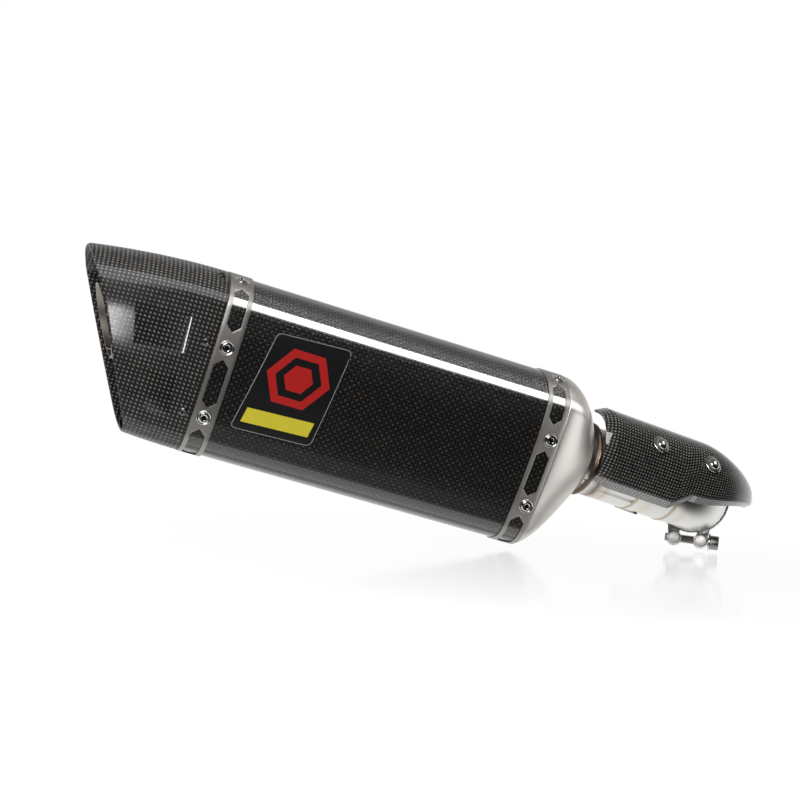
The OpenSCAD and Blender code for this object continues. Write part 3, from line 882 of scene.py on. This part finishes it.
class SILENCER_OT_badge(bpy.types.Operator):
    """Builds the badge plate with its rim and the plain printed device"""
    bl_idname = "silencer.badge"
    bl_label = "Badge"

    def execute(self, context):
        def flat(pts):
            return [(x, girth_at(z)) for x, z in pts]

        plate = outline_plate("badge_plate_skin",
            rounded(flat([(45.5, 39.0), (108.8, 42.0), (100.2, -43), (31.8, -45.6)]), 5)[::-1], 0, cut=3)
        edit(plate, inset={"thickness": 0.55, "depth": 0, "use_boundary": True})
        for f in plate.data.polygons:
            # the ring left round the inset face is the plate's bright rim
            f.material_index = 0 if f.select else 1
        modify(plate, "SOLIDIFY", thickness=0.9, offset=1)
        wrap(plate, on_can, -BAND_WALL)
        outwards(plate)
        shade(plate, 40)
        finish_piece(plate, "muffler", [MATS["badge_black"], MATS["badge_edge"]], "badge_black", "badge_plate")

        centre = (73.0, girth_at(7.0))
        clear()
        for i, (outer, inner) in enumerate(((27, 19.5), (12.5, 0))):
            bpy.ops.mesh.primitive_circle_add(vertices=6, radius=outer, fill_type="NGON")
            ob = bpy.context.object
            ob.name = f"device_{i}"
            for v in ob.data.vertices:
                x, y = v.co.x, v.co.y
                v.co = (centre[0] + y + 0.11 * -x, centre[1] + x, 0)
            if inner:
                edit(ob, inset={"thickness": (outer - inner) * HEX_FLAT, "depth": 0}, delete={"type": "FACE"})
            face_up(ob)
            slice_flat(ob, 3)
            modify(ob, "SOLIDIFY", thickness=0.12, offset=1)
            wrap(ob, on_can, -0.25)
            outwards(ob)
            finish_piece(ob, "muffler", MATS["badge_red"], "badge_red", *(["badge_mark"] if i == 0 else []))
        bar = outline_plate("device_bar",
            flat([(40.6, -26), (97.2, -23.6), (95.4, -36.2), (38.6, -38.6)])[::-1], 0.12, cut=3)
        wrap(bar, on_can, -0.25)
        outwards(bar)
        finish_piece(bar, "muffler", MATS["badge_yellow"], "badge_yellow", "badge_bar")
        return {"FINISHED"}


class SILENCER_OT_shield(bpy.types.Operator):
    """Builds the carbon heat shield over the link pipe and elbow"""
    bl_idname = "silencer.shield"
    bl_label = "Heat shield"

    def execute(self, context):
        far = RUN + 14 + (BEND_R + 40) * math.radians(TURN - 4.5)

        def bands(v):
            # v below 0.12 is the lower return, then the face
            return (v / 0.12 - 1) if v < 0.12 else (v - 0.12) / 0.88

        def place(u, v):
            t = bands(v)
            z = shield_curve(max(0, t)).y
            start = 3 - 0.149 * z + 0.2
            x = start + (far - start) * u ** 1.15
            return row(shield_point(x, t))

        def weave(u, v):
            t = bands(v)
            start = 3 - 0.149 * shield_curve(max(0, t)).y
            return ((start + (far - start) * u ** 1.15) * MM, (t * SHIELD_STEPS[-1] if t > 0 else t * 10) * MM)

        ob = sheet_skin("shield_skin", 150, 90, place, weave)
        bpy.context.view_layer.update()
        # the face has to look away from the pipe before it is given its wall
        f = ob.data.polygons[len(ob.data.polygons) // 2]
        away = f.center - Vector(row(LINK @ Vector((60, 0, 0))))
        if f.normal.dot(away) < 0:
            edit(ob, flip_normals={})
        modify(ob, "SOLIDIFY", thickness=0.0019, offset=-1)
        modify(ob, "BEVEL", width=0.0005, segments=2, limit_method="ANGLE", angle_limit=math.radians(55))
        shade(ob, 50)
        finish_piece(ob, "muffler", MATS["shield_carbon"], "gloss_carbon", "heat_shield")
        return {"FINISHED"}


class SILENCER_OT_pipe(bpy.types.Operator):
    """Smooths the link pipe, elbow, socket, collar and bracket and lays the rippled welds"""
    bl_idname = "silencer.pipe"
    bl_label = "Link pipe"

    def execute(self, context):
        clean_copy("neck_tube", "neck_skin", MATS["neck_tinted"], "stainless_bright")
        clean_copy("link_tube", "link_skin", MATS["link_tinted"], "stainless_bright")
        clean_copy("link_elbow", "elbow_skin", MATS["link_tinted"], "stainless_bright")
        clean_copy("inlet_socket", "socket_skin", MATS["stainless_bright"], "stainless_bright", angle=35)
        clean_copy("neck_collar", "collar_skin", MATS["collar_tinted"], "stainless_polished", angle=60)
        clean_copy("hanger_bracket", "bracket_skin", MATS["titanium_satin"], "titanium_satin", edge=0.0006)
        clean_copy("shield_bosses", "boss_skin", MATS["stainless_bright"], "stainless_bright", edge=0.0003)
        # rippled weld beads
        welds = []
        for x in (WELD_AT, RUN):
            clear()
            bpy.ops.mesh.primitive_torus_add(major_segments=240, minor_segments=10, major_radius=PIPE_R,
                minor_radius=1.3)
            ob = bpy.context.object
            for v in ob.data.vertices:
                a = math.atan2(v.co.y, v.co.x)
                r = math.hypot(v.co.x, v.co.y) - PIPE_R
                ripple = 0.55 + 0.16 * abs(math.sin(a * 42))
                side = v.co.z * 1.25 + 0.25 * math.sin(a * 84)
                out = PIPE_R - 0.1 + max(-0.35, r) * ripple
                v.co = row(LINK @ Vector((x + side, out * math.cos(a), out * math.sin(a))))
            outwards(ob)
            shade(ob, 60)
            welds.append(ob)
        for i, ob in enumerate(welds):
            ob.name = f"weld_{i}"
            finish_piece(ob, "muffler", MATS["weld_bead"], "weld_bead", *(["weld_beads"] if i == 0 else []))
        return {"FINISHED"}


class SILENCER_OT_fasteners(bpy.types.Operator):
    """Smooths the rivets, screws and washers"""
    bl_idname = "silencer.fasteners"
    bl_label = "Rivets and screws"

    def execute(self, context):
        rivet = [(-5.4, 2.02), (-5.4, 2.4), (0.0, 2.4), (0.02, 6.02), (0.25, 6.2), (0.6, 6.22), (0.95, 6.0),
            (1.08, 5.65), (1.0, 5.3), (0.75, 5.0), (0.66, 4.75), (0.75, 4.5), (1.1, 4.3), (1.34, 4.05),
            (1.4, 3.6), (1.4, 2.8), (1.34, 2.4), (1.15, 2.12), (0.7, 2.02), (-2.0, 2.02)]
        rows = (("rear_rivets_skin", "rear_band_rivets", rivet_spots(BAND / 2, 0.0)),
                ("front_rivets_skin", "front_band_rivets", rivet_spots(CAN - FRONT_INSET, FRONT_SHIFT)))
        for name, node, spots in rows:
            ob = joined(name, [turned("rivet", rivet, stand(*spot, on_can)) for spot in spots])
            shade(ob, 50)
            finish_piece(ob, "muffler", MATS["stainless_polished"], "stainless_polished", node)
        # a near-black disc just inside each rivet's bore is painted shade for the dark hole
        bore = [(0.12, 0.0), (0.16, 2.0), (0.1, 2.01)]
        bores = [turned("bore", bore, stand(*spot, on_can), n=24) for _, _, spots in rows for spot in spots]
        finish_piece(joined("rivet_bore_shade", bores), "muffler", MATS["painted_bore_shade"], "black_steel")

        screw = [(-5.9, 0.0), (-5.9, 1.9), (-0.25, 1.92), (-0.2, 3.4), (0.05, 3.6), (0.5, 3.62), (0.75, 3.45),
            (1.0, 3.0), (1.3, 2.7), (1.5, 2.3), (1.5, 1.6), (1.35, 1.35), (0.2, 1.3), (0.1, 0.0)]
        heads = [turned("screw", screw, stand(*spot, on_cap)) for spot in rivet_spots(SCREWS_AT, 0.0)]
        ob = joined("cap_screws_skin", heads)
        shade(ob, 50)
        finish_piece(ob, "muffler", MATS["black_steel"], "black_steel", "end_cap_screws")

        washers, screws = [], []
        ring = [(0.02, 3.1), (0.02, 8.0), (0.2, 8.2), (0.6, 8.2), (0.95, 7.9), (1.18, 7.4), (1.2, 3.2),
            (1.05, 3.1)]
        button = [(-12.8, 0.0), (-12.8, 2.2), (-12.2, 2.5), (1.2, 2.5), (1.22, 5.4), (1.4, 5.6), (1.9, 5.55),
            (2.6, 5.2), (3.3, 4.6), (3.8, 3.8), (4.05, 3.0), (4.1, 2.2), (4.0, 1.95), (2.1, 1.8), (2.0, 0.0)]

        def socket(i, a, r):
            # the last rings but one form a six-sided key hole
            return 1.73 / math.cos((a % (math.pi / 3)) - math.pi / 6) if i in (len(button) - 2,
                len(button) - 3) else r

        for x, a in ((52.5, 41), (109, 39)):
            m = LINK @ Matrix.Translation((x, 0, 0)) @ Matrix.Rotation(math.radians(90 - a), 4,
                "X") @ Matrix.Translation((0, 0, 50.4))
            washers.append(turned("washer", ring, m, n=64))
            screws.append(turned("screw", button, m, n=48, facets=socket))
        for o in washers:
            only(o)
            bpy.ops.object.mode_set(mode="EDIT")
            bpy.ops.mesh.select_all(action="DESELECT")
            bpy.ops.mesh.select_mode(type="EDGE")
            bpy.ops.mesh.select_non_manifold()
            bpy.ops.mesh.bridge_edge_loops()
            bpy.ops.object.mode_set(mode="OBJECT")
            outwards(o)
        for name, pieces, node in (("washers_skin", washers, "shield_washers"),
            ("screws_skin", screws, "shield_screws")):
            ob = joined(name, pieces)
            shade(ob, 40)
            finish_piece(ob, "muffler", MATS["stainless_polished"], "stainless_polished", node)
        return {"FINISHED"}


class SILENCER_OT_clamp(bpy.types.Operator):
    """Smooths the T-bolt clamp and cuts the bolt's thread"""
    bl_idname = "silencer.clamp"
    bl_label = "T-bolt clamp"

    def execute(self, context):
        p = context.scene.silencer_sizes
        for node, name, mat in (
            ("clamp_liner", "liner_skin", "stainless_bright"),
            ("clamp_band", "clamp_band_skin", "stainless_bright"),
        ):
            clean_copy(node, name, MATS[mat], mat, body="clamp", angle=32, edge=0.0002)
        barrel = [(-10.4, 0.0), (-10.4, 5.0), (-10.3, 5.35), (-10.0, 5.65), (-9.5, 5.95), (-9.2, 6.0),
            (9.2, 6.0), (9.5, 5.95), (10.0, 5.65), (10.3, 5.35), (10.4, 5.0), (10.4, 0.0)]
        for node, y, hole in (("barrel_plain", -BARREL_AT, 4.3), ("barrel_threaded", BARREL_AT, 4.05)):
            ob = turned(node + "_skin", barrel,
                CLAMP @ Matrix.Translation((0, y, BARREL_DOWN)) @ Matrix.Rotation(math.radians(90), 4, "Y"),
                n=64)
            clear()
            bpy.ops.mesh.primitive_cylinder_add(vertices=48, radius=1, depth=1)
            drill = bpy.context.object
            m = CLAMP @ Matrix.Translation((0, y, BARREL_DOWN)) @ Matrix.Rotation(math.radians(90), 4, "X")
            for v in drill.data.vertices:
                v.co = row(m @ Vector((v.co.x * hole, v.co.y * hole, v.co.z * 30)))
            modify(ob, "BOOLEAN", operation="DIFFERENCE", object=drill, solver="EXACT")
            bpy.data.objects.remove(drill)
            shade(ob, 32)
            finish_piece(ob, "clamp", MATS["barrel_steel"], "stainless_polished", node)
        clean_copy("clamp_washer", "washer_skin", MATS["stainless_bright"], "stainless_bright", body="washer",
            edge=0.0003)
        # the bolt: a profile of thread, shank and knurled head spun round its axis
        head = 8.0
        prof = [(-21.0, 0.0), (-21.0, 3.1), (-20.3, 3.9)]
        x = -20.2
        while x < 12:
            prof += [(x, 3.98), (x + p.thread_pitch * 0.45, 3.42), (x + p.thread_pitch * 0.55, 3.42)]
            x += p.thread_pitch
        top = BARREL_AT + BARREL_R + 2.65
        prof += [(BARREL_AT, 3.95), (top, 3.95), (top + 0.02, 6.1), (top + 0.35, 6.5), (top + head - 0.9, 6.5),
            (top + head - 0.25, 6.15), (top + head, 5.6), (top + head, 3.9), (top + head - 0.3, 3.6),
            (top + head - 4, 3.5), (top + head - 4.6, 0.0)]
        n = 72
        bolt = CLAMP @ Matrix.Translation((0, 0, BARREL_DOWN)) @ Matrix.Rotation(math.radians(90), 4, "X")
        rings = []
        for z, rad in prof:
            ring = []
            for k in range(n):
                a = 2 * math.pi * k / n
                rr = rad
                if rad >= 6.4 and top + 0.3 < z < top + head - 0.2:
                    rr = rad - (0.14 if k % 2 else 0.0)
                if z > top + head - 4.2 and 3.3 < rad < 3.7:
                    rr = 3.0 / math.cos((a % (math.pi / 3)) - math.pi / 6)
                rr = max(rr, 0.01)
                ring.append(row(bolt @ Vector((rr * math.cos(a), rr * math.sin(a), z))))
            rings.append(ring)
        ob = ring_skin("bolt_skin", rings)
        outwards(ob)
        shade(ob, 30)
        finish_piece(ob, "bolt", MATS["bolt_steel"], "black_steel", "clamp_bolt")
        return {"FINISHED"}


class SILENCER_OT_inside(bpy.types.Operator):
    """Smooths the outlet tube, bulkheads and perforated core"""
    bl_idname = "silencer.inside"
    bl_label = "Inner parts"

    def execute(self, context):
        for node in ("outlet_tube", "outlet_ring", "rear_bulkhead", "front_bulkhead", "core_tube"):
            clean_copy(node, node + "_skin", MATS["inner_steel"], "inner_steel", angle=32)
        pack = NODES["packing"]
        pack.data.materials.clear()
        pack.data.materials.append(MATS["wool"])
        return {"FINISHED"}


class SILENCER_OT_stage(bpy.types.Operator):
    """Sets the camera, the pale floor and the studio light"""
    bl_idname = "silencer.stage"
    bl_label = "Stage"

    def execute(self, context):
        sc = context.scene
        look = Vector((0.2489, 0.9685, 0.0)).normalized()
        roll = 16.67
        right = look.cross(Vector((0, 0, 1))).normalized()
        up = Vector((0, 0, 1))
        c, s = math.cos(math.radians(roll)), math.sin(math.radians(roll))
        # the camera leans so that the can falls to the right
        r2 = right * c + up * s
        u2 = up * c - right * s
        clear()
        bpy.ops.object.camera_add()
        cam = context.object
        cam.name = "view_camera"
        place = (Vector((-178.7, -1361.9, 15.0)) - MOUTH) * MM
        back = -look
        m = Matrix((r2, u2, back)).transposed().to_4x4()
        m.translation = place
        cam.matrix_world = m
        cam.data.sensor_width = 36
        cam.data.lens = 74.25
        cam.data.clip_end = 50
        sc.camera = cam
        sc.view_settings.view_transform = "Standard"
        sc.view_settings.look = "None"

        # pale floor, level in the view: the can leans on its cone and its clamp
        lean = math.radians(4.1)
        fx, fz = r2 * math.cos(lean) - u2 * math.sin(lean), u2 * math.cos(lean) + r2 * math.sin(lean)
        low = min(v.co.dot(fz) for o in NODES.values() for v in o.data.vertices)
        f = Finish("pale_floor")
        tree = f.tree
        tree.nodes.remove(f.shader)
        away = f.node("ShaderNodeVectorMath", {"operation": "LENGTH"}, f.object_place())
        away = f.other(away, "Value")
        glow = f.node("ShaderNodeEmission", {}, Color=(1, 1, 1, 1))
        gloss = f.node("ShaderNodeBsdfGlossy", {}, Color=(1, 1, 1, 1), Roughness=0.1)
        clear_ = f.node("ShaderNodeBsdfTransparent", {})
        seen = f.node("ShaderNodeMixShader", {}, (0.38 - away * 0.85).clip(), glow, gloss)
        edge = f.node("ShaderNodeMixShader", {}, ((away - 0.75) * 5).clip(), seen, clear_)
        tree.links.new(edge.out, tree.nodes["Material Output"].inputs["Surface"])
        clear()
        bpy.ops.mesh.primitive_circle_add(vertices=96, radius=1.0, fill_type="NGON")
        floor = context.object
        floor.name = "pale_floor"
        fm = Matrix((fx, fz.cross(fx), fz)).transposed().to_4x4()
        spot = row((355, -20, -75))
        fm.translation = spot + fz * (low - 0.0006 - spot.dot(fz))
        floor.matrix_world = fm
        floor.data.materials.append(f.mat)
        floor.visible_glossy = False
        floor.visible_diffuse = False
        floor.visible_shadow = False

        # studio surround: white to the eye, and to the surfaces a dark front, bright back, top and table
        sky = bpy.data.worlds.new("studio")
        sc.world = sky
        sky.use_nodes = True
        sky.node_tree.nodes.clear()
        w = Surround(sky.node_tree)
        _, y, z = w.split(w.node("ShaderNodeTexCoord", {}))
        height = z * 0.5 + 0.5

        def greys(*stops):
            return w.node("ShaderNodeValToRGB", {"ramp": [(at, (v, v, v)) for at, v in stops]}, height)

        front = greys((0.0, 0.85), (0.15, 0.8), (0.195, 0.10), (0.28, 0.012), (0.62, 0.012), (0.80, 0.02),
            (0.90, 0.08), (1.0, 0.12))
        back = greys((0.0, 0.85), (0.3, 0.9), (0.5, 1.0), (0.62, 0.8), (0.8, 0.38), (0.93, 0.16), (1.0, 0.12))
        side = w.node("ShaderNodeMapRange", {"interpolation_type": "SMOOTHSTEP"}, y, From_Min=-0.25,
            From_Max=0.45)
        glow_round = w.node("ShaderNodeBackground", {}, w.blend(side, front, back), 1.0)
        white = w.node("ShaderNodeBackground", {}, (1, 1, 1, 1))
        shown = w.node("ShaderNodeMixShader", {}, w.node("ShaderNodeLightPath", {}), glow_round, white)
        w.tree.links.new(shown.out, w.tree.nodes.new("ShaderNodeOutputWorld").inputs[0])

        def softbox(name, at, aim, wide, tall, power):
            clear()
            bpy.ops.object.light_add(type="AREA", location=at)
            la = context.object
            la.name = name
            la.data.shape = "RECTANGLE"
            la.data.size, la.data.size_y = wide, tall
            la.data.energy = power
            d = (Vector(aim) - Vector(at)).normalized()
            side_ = Vector((1, 0, 0)) if abs(d.x) < 0.2 else d.cross(Vector((0, 0, 1))).normalized()
            m3 = Matrix((side_, (-d).cross(side_), -d)).transposed()
            la.rotation_euler = m3.to_euler()
            la.visible_camera = False
            return la

        mid = Vector((-0.33, -0.09, 0.0))
        def soft_for(name, at, aim, wide, tall, power, seen, diffuse=True, glossy=True):
            la = softbox(name, at, aim, wide, tall, power)
            la.visible_diffuse, la.visible_glossy = diffuse, glossy
            only_these = bpy.data.collections.new(name + "_sees")
            for piece in seen:
                only_these.objects.link(bpy.data.objects[piece])
            la.light_linking.receiver_collection = only_these
            return la

        # the long softbox above the outer side draws the white line along the can's shoulder
        shoulder = row((170, -45, 62))
        th = math.radians(66.25)
        away_up = Vector((0, -math.cos(th), math.sin(th)))
        for name, power, seen in (
            ("strip_above", 380, ("sleeve_skin",)),
            ("strip_on_bands", 30, ("rear_strap", "front_strap", "cone_skin")),
            ("strip_on_cap", 62, ("cap_skin",)),
        ):
            soft_for(name, shoulder + away_up, shoulder, 4.0, 1.19, power, seen, diffuse=False)
        cone_mid = row((322, -25, -15))
        soft_for("cone_side", cone_mid + Vector((1.0, -0.75, -0.15)), cone_mid, 1.0, 1.0, 4.5,
            ("cone_skin", "front_strap"))

        def glint(st, w, tilt):
            """Place on the cap, and the way that light leaves it for the camera, where the surface tilts forwards."""
            at = row(on_cap(st, w, 0))
            along = (row(on_cap(st + 1, w, 0)) - at).normalized()
            round_ = (row(on_cap(st, w + 1, 0)) - at).normalized()
            n = along.cross(round_)
            if n.dot(place - at) < 0:
                n = -n
            n = (n * math.cos(math.radians(tilt)) + along * math.sin(math.radians(tilt))).normalized()
            eye = (place - at).normalized()
            return at, (n * 2 * n.dot(eye) - eye).normalized()

        at, way = glint(-88, girth_at(12), 0)
        patch = soft_for("cap_patch", at + way * 1.2, at, 0.09, 0.3, 3.4, ("cap_skin",), diffuse=False)
        patch.data.shape = "ELLIPSE"
        at, way = glint(-22, girth_at(16), 24)
        soft_for("panel_line", at + way * 1.2, at, 0.55, 0.7, 26, ("cap_panel_upper",), diffuse=False)
        low_mid = mid + Vector((0, -0.3, -1.2))
        soft_for("table_glow", low_mid, mid, 2.4, 1.2, 10, ("shield_skin", "sleeve_skin", "cap_skin"),
            diffuse=False)
        soft_for("top_soft", mid + Vector((0, 0.1, 1.2)), mid, 2.0, 0.6, 13,
            ("sleeve_skin", "cap_skin", "shield_skin"), glossy=False)
        softbox("fill_front", mid + Vector((-0.9, -1.8, 0.7)), mid, 1.2, 1.2, 25)
        return {"FINISHED"}


class SILENCER_PT_panel(bpy.types.Panel):
    """Lists the silencer's pieces in building order"""
    bl_label = "Silencer"
    bl_idname = "SILENCER_PT_panel"
    bl_space_type = "VIEW_3D"
    bl_region_type = "UI"
    bl_category = "Silencer"

    def draw(self, context):
        for group in (context.scene.silencer_sizes, context.scene.silencer_colours):
            for prop in group.bl_rna.properties:
                if prop.identifier not in {"rna_type", "name"}:
                    self.layout.prop(group, prop.identifier)
        for op in OPERATORS:
            self.layout.operator(op.bl_idname)


OPERATORS = (
    SILENCER_OT_finishes,
    SILENCER_OT_sleeve,
    SILENCER_OT_bands,
    SILENCER_OT_cap,
    SILENCER_OT_cone,
    SILENCER_OT_badge,
    SILENCER_OT_shield,
    SILENCER_OT_pipe,
    SILENCER_OT_fasteners,
    SILENCER_OT_clamp,
    SILENCER_OT_inside,
    SILENCER_OT_stage,
)
CLASSES = (SilencerSizes, SilencerColours, *OPERATORS, SILENCER_PT_panel)


def register():
    for c in CLASSES:
        bpy.utils.register_class(c)
    bpy.types.Scene.silencer_sizes = bpy.props.PointerProperty(type=SilencerSizes)
    bpy.types.Scene.silencer_colours = bpy.props.PointerProperty(type=SilencerColours)


def unregister():
    del bpy.types.Scene.silencer_colours
    del bpy.types.Scene.silencer_sizes
    for c in reversed(CLASSES):
        bpy.utils.unregister_class(c)


def main():
    register()
    for op in OPERATORS:
        group, name = op.bl_idname.split(".")
        result = getattr(getattr(bpy.ops, group), name)()
        if result != {"FINISHED"}:
            raise RuntimeError(f"{op.bl_idname} did not finish")
    clear()


if __name__ == "__main__":
    main()
